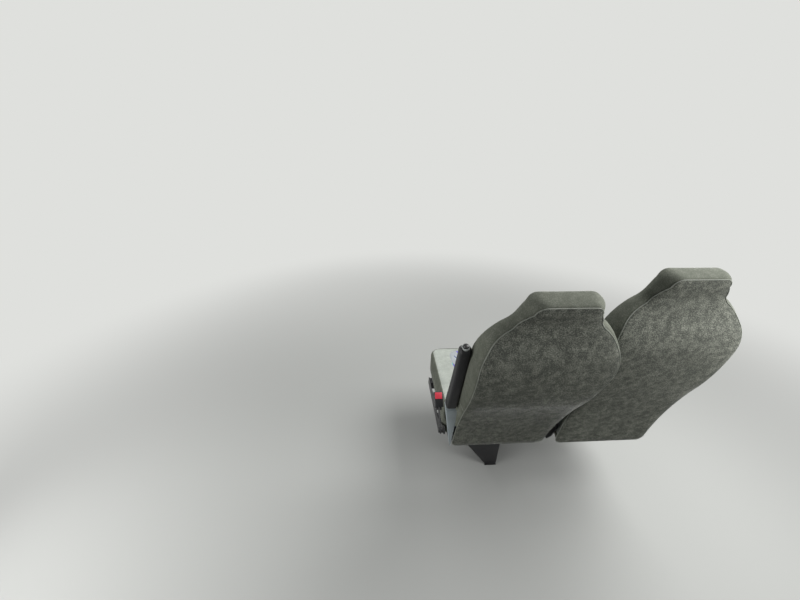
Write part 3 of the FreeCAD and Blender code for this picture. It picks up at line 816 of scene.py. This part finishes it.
def measure_back(co):
    x, b, s = co
    on_front = b < (front_b(s) + rear_b(s)) / 2
    front = inside_outline(x, s) - front_seam if on_front else BEYOND_FRONT
    centre = inside_rounded(x, s - centre_middle, centre_half, (centre_high - centre_low) / 2,
                            centre_corner)
    return x, s, front, centre if on_front else BEYOND_CENTRE


def held_by_back(co):
    _, _, front, centre = measure_back(co)
    at_rear = co.y > rear_b(co.z) - rear_recess - 0.008
    return at_rear or abs(front) < seam_band or abs(centre) < seam_band


print("inside the outline at the pivot's height", round(inside_outline(0, 0), 3))

# %% Back covers
def notch_block(side):
    bm = bmesh.new()
    bmesh.ops.create_cube(bm, size=1.0)
    bmesh.ops.scale(bm, vec=(0.06, 0.4, notch_top - bottom_s + 0.02), verts=bm.verts)
    bmesh.ops.translate(bm, verts=bm.verts, vec=(side * (notch_half + 0.03), 0.03,
                                                 (notch_top + bottom_s - 0.02) / 2))
    block = finished(bm, "notch_block", cover_cloth)
    block.hide_render = True
    return block


def back_cover(place):
    form = curved_body(whole_outline(0.0), front_b, lambda s: rear_b(s) - rear_recess,
                       cover_front_rim, cover_rear_rim, 0.012, boxing_bulge, head_bulge)
    piece = finished(form, "back_cover_" + place, cover_cloth)
    for side in (-1, 1):
        notch = piece.modifiers.new("notch", "BOOLEAN")
        notch.object = notch_block(side)
        notch.solver = "EXACT"
        keep_result(piece)
    stuffed(piece, held_by_back)
    sew(piece, measure_back, back_cut[place])
    piece.data.transform(stand_up(place))
    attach(piece, place + "_back")
    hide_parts("back_pad_" + place)
    return piece


covers = {place: back_cover(place) for place in places}
for block in [o for o in bpy.data.objects if o.name.startswith("notch_block")]:
    bpy.data.objects.remove(block)
print("cover faces", [len(piece.data.polygons) for piece in covers.values()])

# %% [markdown]
# ## Rear panels
# The rear panel is a shallow board under heather velour, drawn tight, so it isn't stuffed. It is the same
# kind of body, a few millimetres inside the outline. Its rim is well rounded and falls away over the last
# few centimetres, down to the seam just inside the boxing's edge.

# %% Rear panels
panel_inset = 0.0065
panel_depth = 0.010
panel_rim = 0.005
roll_width = 0.045
roll_fall = 0.006


def rear_panel(place):
    form = curved_body(whole_outline(panel_inset), lambda s: rear_b(s) - panel_depth, rear_b,
                       0.0005, panel_rim, 0.008, head_front=head_corner_rear, inset=panel_inset)
    for vert in form.verts:
        x, b, s = vert.co
        if b > rear_b(s) - panel_depth / 2:
            share = 1 - min(inside_outline(x, s) / roll_width, 1)
            vert.co.y = max(b - roll_fall * share ** 2, rear_b(s) - panel_depth + 0.001)
    form.transform(stand_up(place))
    piece = finished(form, "rear_panel_" + place, rear_velour, 60)
    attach(piece, place + "_back")
    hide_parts("back_panel_" + place)
    return piece


panels = {place: rear_panel(place) for place in places}
print("rear panels", [len(piece.data.polygons) for piece in panels.values()])

# %% [markdown]
# ## Piping
# A welt is sewn into the seam: a thin cord in a strip of grey cloth. Its line is the outline itself, a
# little inside the silhouette. It is laid on the surface that it is sewn to, so the line of points is
# made a curve with a round section and then a mesh.

# %% Piping
rear_welt_radius = 0.0015
front_welt_radius = 0.0016


def tube(name, wires, radius, material):
    """A round welt along the edges of a wire mesh."""
    mesh = bpy.data.meshes.new(name)
    wires.to_mesh(mesh)
    wires.free()
    piece = bpy.data.objects.new(name, mesh)
    bpy.context.scene.collection.objects.link(piece)
    bpy.ops.object.select_all(action="DESELECT")
    bpy.context.view_layer.objects.active = piece
    piece.select_set(True)
    bpy.ops.object.convert(target="CURVE")
    piece.data.bevel_depth = radius
    piece.data.bevel_resolution = 2
    piece.data.use_fill_caps = True
    bpy.ops.object.convert(target="MESH")
    piece.select_set(False)
    piece.data.materials.append(material)
    piece.data.shade_smooth()
    return piece


print("welts", 2 * rear_welt_radius, "and", 2 * front_welt_radius, "thick")

# %% Welts of the backs
def welt_line(inset, depth_of):
    """The outline as a wire, open along the bottom, at a depth that follows a profile."""
    wires = whole_outline(inset)
    low = [e for e in wires.edges if all(v.co.z < bottom_s + 0.001 for v in e.verts)]
    bmesh.ops.delete(wires, geom=low, context="EDGES")
    loose = [v for v in wires.verts if not v.link_edges]
    bmesh.ops.delete(wires, geom=loose, context="VERTS")
    long = [e for e in wires.edges if e.calc_length() > 0.02]
    bmesh.ops.subdivide_edges(wires, edges=long, cuts=30)
    for vert in wires.verts:
        vert.co.y = depth_of(vert.co.z)
    return wires


def rear_welt(place):
    inset = panel_inset - 0.0008
    wires = welt_line(inset, lambda s: rear_b(s) - rear_recess + 0.0004)
    for vert in wires.verts:
        vert.co.x, vert.co.z = rounder_head(vert.co.x, vert.co.z, head_corner_rear, inset)
    wires.transform(stand_up(place))
    piece = tube("rear_welt_" + place, wires, rear_welt_radius, piping_cloth)
    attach(piece, place + "_back")
    return piece


def lie_on(cover, wires, proud):
    """Lays each point of a wire on a cover, a little proud of it."""
    for vert in wires.verts:
        _, spot, normal, _ = cover.closest_point_on_mesh(vert.co)
        vert.co = spot + normal * proud


def front_welt(place):
    wires = welt_line(front_seam, front_b)
    wires.transform(stand_up(place))
    lie_on(covers[place], wires, 0.0008)
    piece = tube("front_welt_" + place, wires, front_welt_radius, piping_cloth)
    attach(piece, place + "_back")
    return piece


for place in places:
    print("welts", [len(piece.data.polygons) for piece in (rear_welt(place), front_welt(place))])

# %% [markdown]
# ## Stitches and the joint in the boxing
# A row of stitches holds the seam allowance down beside the patterned centre. A line is drawn round the
# centre, cut to stitch lengths, and every second piece is dropped. The boxing strip is joined on each
# side a little above the armrest's pivot, and that joint is a plain ridge across it.

# %% Stitches
stitch_out = 0.006
stitch_length = 0.004
stitch_thread = 0.0005
joint_line = [
    # share of the depth, s
    (0.05, 0.322), (0.50, 0.300), (0.97, 0.280),
]


def joint_point(side, share, s):
    b = front_b(s) + (rear_b(s) - front_b(s)) * share
    return side * 0.21, b, s


def rounded_loop(half_u, half_v, radius):
    """A rounded rectangle of wire about the origin in the x, s plane."""
    bm = bmesh.new()
    bmesh.ops.create_grid(bm, x_segments=1, y_segments=1, size=1.0)
    bmesh.ops.scale(bm, vec=(half_u, half_v, 1), verts=bm.verts)
    bevel(bm, bm.verts[:], radius, 6, "VERTICES")
    bmesh.ops.delete(bm, geom=bm.faces[:], context="FACES_ONLY")
    return bm


def stitches(name, cover, loop, body):
    for edge in loop.edges[:]:
        count = int(edge.calc_length() / stitch_length)
        if count > 1:
            bmesh.ops.subdivide_edges(loop, edges=[edge], cuts=count - 1)
    lie_on(cover, loop, stitch_thread / 2)
    walk = [next(iter(loop.edges))]
    while len(walk) < len(loop.edges):
        end = walk[-1].verts[1] if len(walk) < 2 else next(
            v for v in walk[-1].verts if v not in walk[-2].verts)
        walk.append(next(e for e in end.link_edges if e is not walk[-1]))
    bmesh.ops.delete(loop, geom=walk[1::2], context="EDGES")
    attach(tube(name, loop, stitch_thread, thread), body)


print("a stitch is", stitch_length, "long")

# %% Stitches and joints on the backs
thread = surface("polyester_thread", "#8f938d", "#a5a8a2", 0.6, 1.0, 0.00005)
for place, cover in covers.items():
    half_v = (centre_high - centre_low) / 2
    loop = rounded_loop(centre_half + stitch_out, half_v + stitch_out, centre_corner + stitch_out)
    for vert in loop.verts:
        s = vert.co.y + centre_low + half_v
        vert.co = (vert.co.x, front_b(s), s)
    loop.transform(stand_up(place))
    stitches("back_stitches_" + place, cover, loop, place + "_back")

    joints = bmesh.new()
    for side in (-1, 1):
        line_through(joints, [joint_point(side, share, s) for share, s in joint_line])
    bmesh.ops.subdivide_edges(joints, edges=joints.edges[:], cuts=12)
    joints.transform(stand_up(place))
    lie_on(cover, joints, 0.0002)
    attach(tube("boxing_joint_" + place, joints, 0.0009, piping_cloth), place + "_back")
print("stitches round", len(covers), "backs")

# %% [markdown]
# ## Cushions
# A cushion starts as a block. Its front corners are rounded in plan, its upper rim more softly, and its
# top is crowned by letting the edges fall, so that it never rises above its real height. The stuffing
# fills it from a slightly small form. Where the belt lies on it, it is pressed flat.

# %% Sizes of a cushion
cushion_width = 0.435
cushion_front = -0.262
cushion_rear = 0.232
cushion_base = 0.335
cushion_start = 0.001
belt_offset = 0.129
cushion_length = cushion_rear - cushion_front
cushion_middle = (cushion_rear + cushion_front) / 2
plan_corner = 0.045
cushion_corners = ((True, 0.058), (False, 0.018))    # at the front or not, radius
top_round = 0.014
base_round = 0.006
crown_width = 0.12           # in from the edge, over which the top falls
crown_fall = 0.005
top_seam = 0.014
top_zone = 0.035             # below the top, down to where the cover's top panel can reach
belt_half = 0.034
belt_slope = 0.02
belt_clear = 0.0003
cushion_centre_y = -0.025
cushion_centre_half = 0.200
belt_front = 0.095


def cushion_plan(x, y):
    return inside_rounded(x, y - cushion_middle, cushion_width / 2, cushion_length / 2, plan_corner)


def measure_cushion(middle_x):
    def measure(co):
        x = co.x - middle_x
        inside = cushion_plan(x, co.y)
        on_top = co.z > seat_height - top_zone
        centre = inside_rounded(x, co.y - cushion_centre_y, centre_half, cushion_centre_half,
                                centre_corner)
        front = inside - top_seam if on_top else BEYOND_FRONT
        return x, co.y, front, centre if on_top else BEYOND_CENTRE
    return measure


print("cushion", cushion_width, "wide and", round(cushion_length, 3), "long")

# %% Form of a cushion
def cushion_form(middle_x):
    bm = bmesh.new()
    bmesh.ops.create_cube(bm, size=1.0)
    size = (cushion_width - 2 * cushion_start, cushion_length - 2 * cushion_start,
            seat_height - cushion_base - cushion_start)
    bmesh.ops.scale(bm, vec=size, verts=bm.verts)
    bmesh.ops.translate(bm, verts=bm.verts, vec=(middle_x, cushion_middle, cushion_base + size[2] / 2))
    for at_front, radius in cushion_corners:
        corners = [e for e in bm.edges if abs(e.verts[0].co.z - e.verts[1].co.z) > 0.05
                   and (e.verts[0].co.y < 0) == at_front]
        bevel(bm, corners, radius, 8)
    high = max(v.co.z for v in bm.verts)
    bevel(bm, [e for e in bm.edges if all(v.co.z > high - 1e-5 for v in e.verts)], top_round, 5)
    low = [e for e in bm.edges if all(v.co.z < cushion_base + 1e-5 for v in e.verts)]
    bevel(bm, low, base_round, 2)
    slice_across(bm, 0, 0.02, middle_x - cushion_width / 2, middle_x + cushion_width / 2)
    slice_across(bm, 1, 0.02, cushion_front, cushion_rear)
    for vert in bm.verts:
        if vert.co.z > cushion_base + 0.05:
            inside = cushion_plan(vert.co.x - middle_x, vert.co.y)
            vert.co.z -= crown_fall * (1 - clamped(inside / crown_width)) ** 2
    bmesh.ops.recalc_face_normals(bm, faces=bm.faces)
    return bm


print("front corners rounded by", cushion_corners[0][1], "and the rear ones by", cushion_corners[1][1])

# %% Cushions
def press_under_belt(piece, belt_x):
    for vert in piece.data.vertices:
        across = (belt_half + belt_slope - abs(vert.co.x - belt_x)) / belt_slope
        along = (vert.co.y - belt_front) / belt_slope
        share = clamped(min(across, along))
        if vert.co.z > seat_height - 0.02 and share > 0:
            vert.co.z += (seat_height - belt_clear - vert.co.z) * share


def cushion(place):
    middle_x = places[place][0]
    measure = measure_cushion(middle_x)

    def held(co):
        _, _, front, centre = measure(co)
        return co.z < cushion_base + 0.012 or abs(front) < seam_band or abs(centre) < seam_band

    piece = finished(cushion_form(middle_x), "cushion_cover_" + place, cover_cloth)
    stuffed(piece, held)
    sew(piece, measure, cushion_cut[place])
    press_under_belt(piece, middle_x - belt_offset)
    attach(piece, "seat_frame")
    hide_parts("cushion_" + place)
    return piece


cushions = {place: cushion(place) for place in places}
for place, cover in cushions.items():
    loop = rounded_loop(centre_half + stitch_out, cushion_centre_half + stitch_out,
                        centre_corner + stitch_out)
    bmesh.ops.translate(loop, verts=loop.verts, vec=(places[place][0], cushion_centre_y, seat_height))
    stitches("cushion_stitches_" + place, cover, loop, "seat_frame")
print("cushions", [[round(side, 4) for side in piece.dimensions] for piece in cushions.values()])

# %% [markdown]
# ## Belts
# The webbing comes out of the retractor below, goes up behind the cushion, over its top and round the
# bar of the tongue, where it is sewn back on itself. A strap is flat, so its line is drawn in a plane and
# extruded sideways by its width, and then it gets its thickness.

# %% Belt webbing
webbing_width = 0.047
webbing_thickness = 0.0013
strap_line = [
    # y, z, rounding of the corner
    (0.191, 0.3043, 0.0), (0.2366, 0.3043, 0.008), (0.2366, 0.4560, 0.006),
    (0.1690, 0.4560, 0.0), (0.1680, 0.4594, 0.0012), (0.1615, 0.4594, 0.0012),
    (0.1615, 0.4562, 0.0008), (0.1640, 0.4562, 0.0),
]


def strap(place):
    side_x = places[place][0] - belt_offset - webbing_width / 2
    bm = bmesh.new()
    corners = line_through(bm, [(side_x, y, z) for y, z, _ in strap_line])
    for corner, (_, _, rounding) in zip(corners, strap_line):
        if rounding:
            bevel(bm, [corner], rounding, 4, "VERTICES")
    wide = bmesh.ops.extrude_edge_only(bm, edges=bm.edges[:])
    bmesh.ops.translate(bm, verts=only_verts(wide["geom"]), vec=(webbing_width, 0, 0))
    bmesh.ops.recalc_face_normals(bm, faces=bm.faces)
    piece = finished(bm, "belt_strap_" + place, webbing_cloth)
    solid = piece.modifiers.new("thick", "SOLIDIFY")
    solid.thickness = webbing_thickness
    solid.offset = 0
    edge = piece.modifiers.new("selvedge", "BEVEL")
    edge.width = 0.0005
    edge.segments = 2
    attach(piece, "seat_frame")
    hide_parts("belt_webbing_" + place)


for place in places:
    strap(place)
print("strap", webbing_width, "wide")

# %% [markdown]
# ## Armrest
# The armrest is one moulded piece of skinned foam. Its side view is a taper between two round ends. The
# slab is sliced so that it can bow a little, as the real one does, and its long edges are well rounded.

# %% Armrest
armrest_s = 0.258
armrest_b = 0.026
armrest_length = 0.317
armrest_x = 0.220            # its inner side, from the back's middle
armrest_width = 0.036
armrest_low_radius = 0.023
armrest_tip_radius = 0.017
armrest_edge = 0.009
armrest_bow = 0.004


def armrest():
    bm = bmesh.new()
    tip_s = armrest_s + armrest_length - armrest_tip_radius
    first = bm.verts.new((armrest_b - armrest_low_radius, 0, armrest_s))
    pen = arc_round(bm, first, armrest_b, armrest_s, 180)
    pen = line_through(bm, [pen, (armrest_b + armrest_tip_radius, 0, tip_s)])[-1]
    pen = arc_round(bm, pen, armrest_b, tip_s, 180)
    bmesh.ops.contextual_create(bm, geom=[pen, first])
    fill_and_extrude(bm, -armrest_width)
    sides = [e for e in bm.edges if abs(e.verts[0].co.y - e.verts[1].co.y) < 1e-6]
    bevel(bm, sides, armrest_edge, 5)
    slice_across(bm, 2, 0.012, armrest_s, tip_s)
    for vert in bm.verts:
        share = clamped((vert.co.z - armrest_s) / armrest_length)
        vert.co.x += armrest_bow * math.sin(math.pi * share)
    bm.transform(Matrix.Rotation(math.radians(90), 4, "Z"))
    bm.transform(Matrix.Translation((armrest_x, 0, 0)))
    bmesh.ops.recalc_face_normals(bm, faces=bm.faces)
    bm.transform(stand_up("aisle"))
    piece = finished(bm, "armrest_skin", armrest_skin, 50)
    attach(piece, "armrest")
    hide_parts("armrest_pad")
    return piece


print("armrest faces", len(armrest().data.polygons))

# %% [markdown]
# ## Push button of the armrest
# A light grey ring is pressed into the tip, and a darker domed button stands in it. A shallow cap closes
# the bore of the pivot. All three are turned shapes: a small profile is spun once round.

# %% Armrest button
def turned(name, profile, centre, material, body, on_side=False):
    """Spins rows of (radius, height). The shape stands up along the back, or out of its side."""
    bm = bmesh.new()
    line_through(bm, [(radius, 0, height) for radius, height in profile])
    bmesh.ops.spin(bm, geom=bm.verts[:] + bm.edges[:], cent=(0, 0, 0), axis=(0, 0, 1),
                   angle=2 * math.pi, steps=32, use_merge=True)
    bmesh.ops.remove_doubles(bm, verts=bm.verts, dist=0.00002)
    bmesh.ops.recalc_face_normals(bm, faces=bm.faces)
    if on_side:
        bm.transform(Matrix.Rotation(math.radians(90), 4, "Y"))
    bmesh.ops.translate(bm, verts=bm.verts, vec=centre)
    bm.transform(stand_up("aisle"))
    piece = finished(bm, name, material, 40)
    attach(piece, body)
    return piece


tip = (armrest_x + armrest_width / 2, armrest_b, armrest_s + armrest_length)
ring = turned("armrest_ring", [(0.0, -0.004), (0.0128, -0.004), (0.0128, 0.0012), (0.0118, 0.0026),
                               (0.0100, 0.0026), (0.0094, 0.0012), (0.0, 0.0012)],
              tip, grey_abs, "armrest")
button = turned("armrest_button", [(0.0, -0.002), (0.0088, -0.002), (0.0088, 0.0058), (0.0078, 0.0076),
                                   (0.0050, 0.0086), (0.0, 0.0090)],
                tip, black_abs, "armrest")
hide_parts("armrest_cap")

pivot_cap = turned("armrest_pivot_cap", [(0.0, -0.001), (0.0125, -0.001), (0.0125, 0.0010),
                                         (0.0105, 0.0024), (0.0, 0.0028)],
                   (armrest_x + armrest_width, armrest_b, armrest_s), black_abs, "armrest", on_side=True)
print("button", button.name, "in", ring.name, "and", pivot_cap.name)

# %% [markdown]
# ## Stage and light
# The floor is plain and pale, but it sends up only as much light as a bus floor does, or the undersides
# would glow. Soft lamps stand where a bus has its windows: one near the wall side that lights the window
# seat more than the aisle seat, one high on that side for the tops, a low one on the aisle side and one
# in front. The camera doesn't see the lamps. The world fills the shadows. The camera and every glossy
# surface see it as a plain pale backdrop, and see the floor as pale too.

# %% Floor
def seen_rays(material):
    """For a material or a world: 1 for rays from the camera or from a glossy or clear surface."""
    rays = add(material, "LightPath")
    seen = rays.outputs["Is Camera Ray"]
    for kind in ("Is Glossy Ray", "Is Transmission Ray"):
        seen = add(material, "Math", {0: seen, 1: rays.outputs[kind]}, operation="MAXIMUM")
    return seen


def studio_floor(name, colour, bounce, backdrop_colour, start, end):
    """A matt floor that fades into the backdrop between two distances, so it shows no edge."""
    material = new_material(name)
    place = add(material, "TexCoord").outputs["Object"]
    away = add(material, "VectorMath", {0: place}, operation="LENGTH")
    share = add(material, "MapRange", {"Value": away, "From Min": start, "From Max": end},
                interpolation_type="SMOOTHSTEP")
    seen = seen_rays(material)
    tint = add(material, "Mix", {SHARE: seen, FIRST: linear(bounce), SECOND: linear(colour)},
               data_type="RGBA")
    coat = add(material, "BsdfPrincipled", {"Base Color": tint, "Roughness": 0.8,
                                            "Specular IOR Level": 0.2})
    glow = add(material, "Emission", {"Color": linear(backdrop_colour)})
    faded = add(material, "Math", {0: share, 1: seen}, operation="MULTIPLY")
    add(material, "OutputMaterial", {"Surface": add(material, "MixShader", {0: faded, 1: coat, 2: glow})})
    return material


backdrop_grey = "#dfe0dd"
floor_grey = "#a2a3a0"
floor_bounce = "#5c5d5a"     # what the floor sends up, as dark as the floor covering of a bus
floor_half = 40.0
fade = (0.8, 3.4)            # distances from the seat's middle
floor_bm = bmesh.new()
bmesh.ops.create_grid(floor_bm, x_segments=1, y_segments=1, size=floor_half)
floor_paint = studio_floor("matt_floor_paint", floor_grey, floor_bounce, backdrop_grey, *fade)
floor = finished(floor_bm, "floor", floor_paint)
print("the floor fades out from", fade[0], "to", fade[1])

# %% Lamps and world
lamps = [
    # name, place, aimed at, size, watts
    ("window_side", (-1.05, 1.0, 1.28), (-0.4, 0.3, 0.9), 0.8, 15.5),
    ("aisle_side", (2.1, 0.9, 0.8), (0.1, 0.3, 0.7), 1.2, 25.0),
    ("above", (-1.25, 0.05, 2.3), (-0.3, 0.2, 0.8), 1.5, 64.0),
    ("front", (0.9, -1.9, 1.7), (0.0, 0.1, 0.7), 1.6, 25.0),
]
for name, spot, aim, size, watts in lamps:
    data = bpy.data.lights.new(name, "AREA")
    data.size = size
    data.energy = watts
    lamp = bpy.data.objects.new(name, data)
    lamp.location = spot
    lamp.rotation_mode = "QUATERNION"
    lamp.rotation_quaternion = (Vector(aim) - Vector(spot)).to_track_quat("-Z", "Y")
    lamp.visible_camera = False
    bpy.context.scene.collection.objects.link(lamp)

world = bpy.data.worlds.new("world")
world.use_nodes = True
world.node_tree.nodes.clear()
fill = add(world, "Background", {"Color": linear("#e9ecee"), "Strength": 0.28})
backdrop = add(world, "Background", {"Color": linear(backdrop_grey), "Strength": 1.0})
add(world, "OutputWorld", {"Surface": add(world, "MixShader",
                                         {0: seen_rays(world), 1: fill, 2: backdrop})})
bpy.context.scene.world = world
print("lamps", len(lamps))
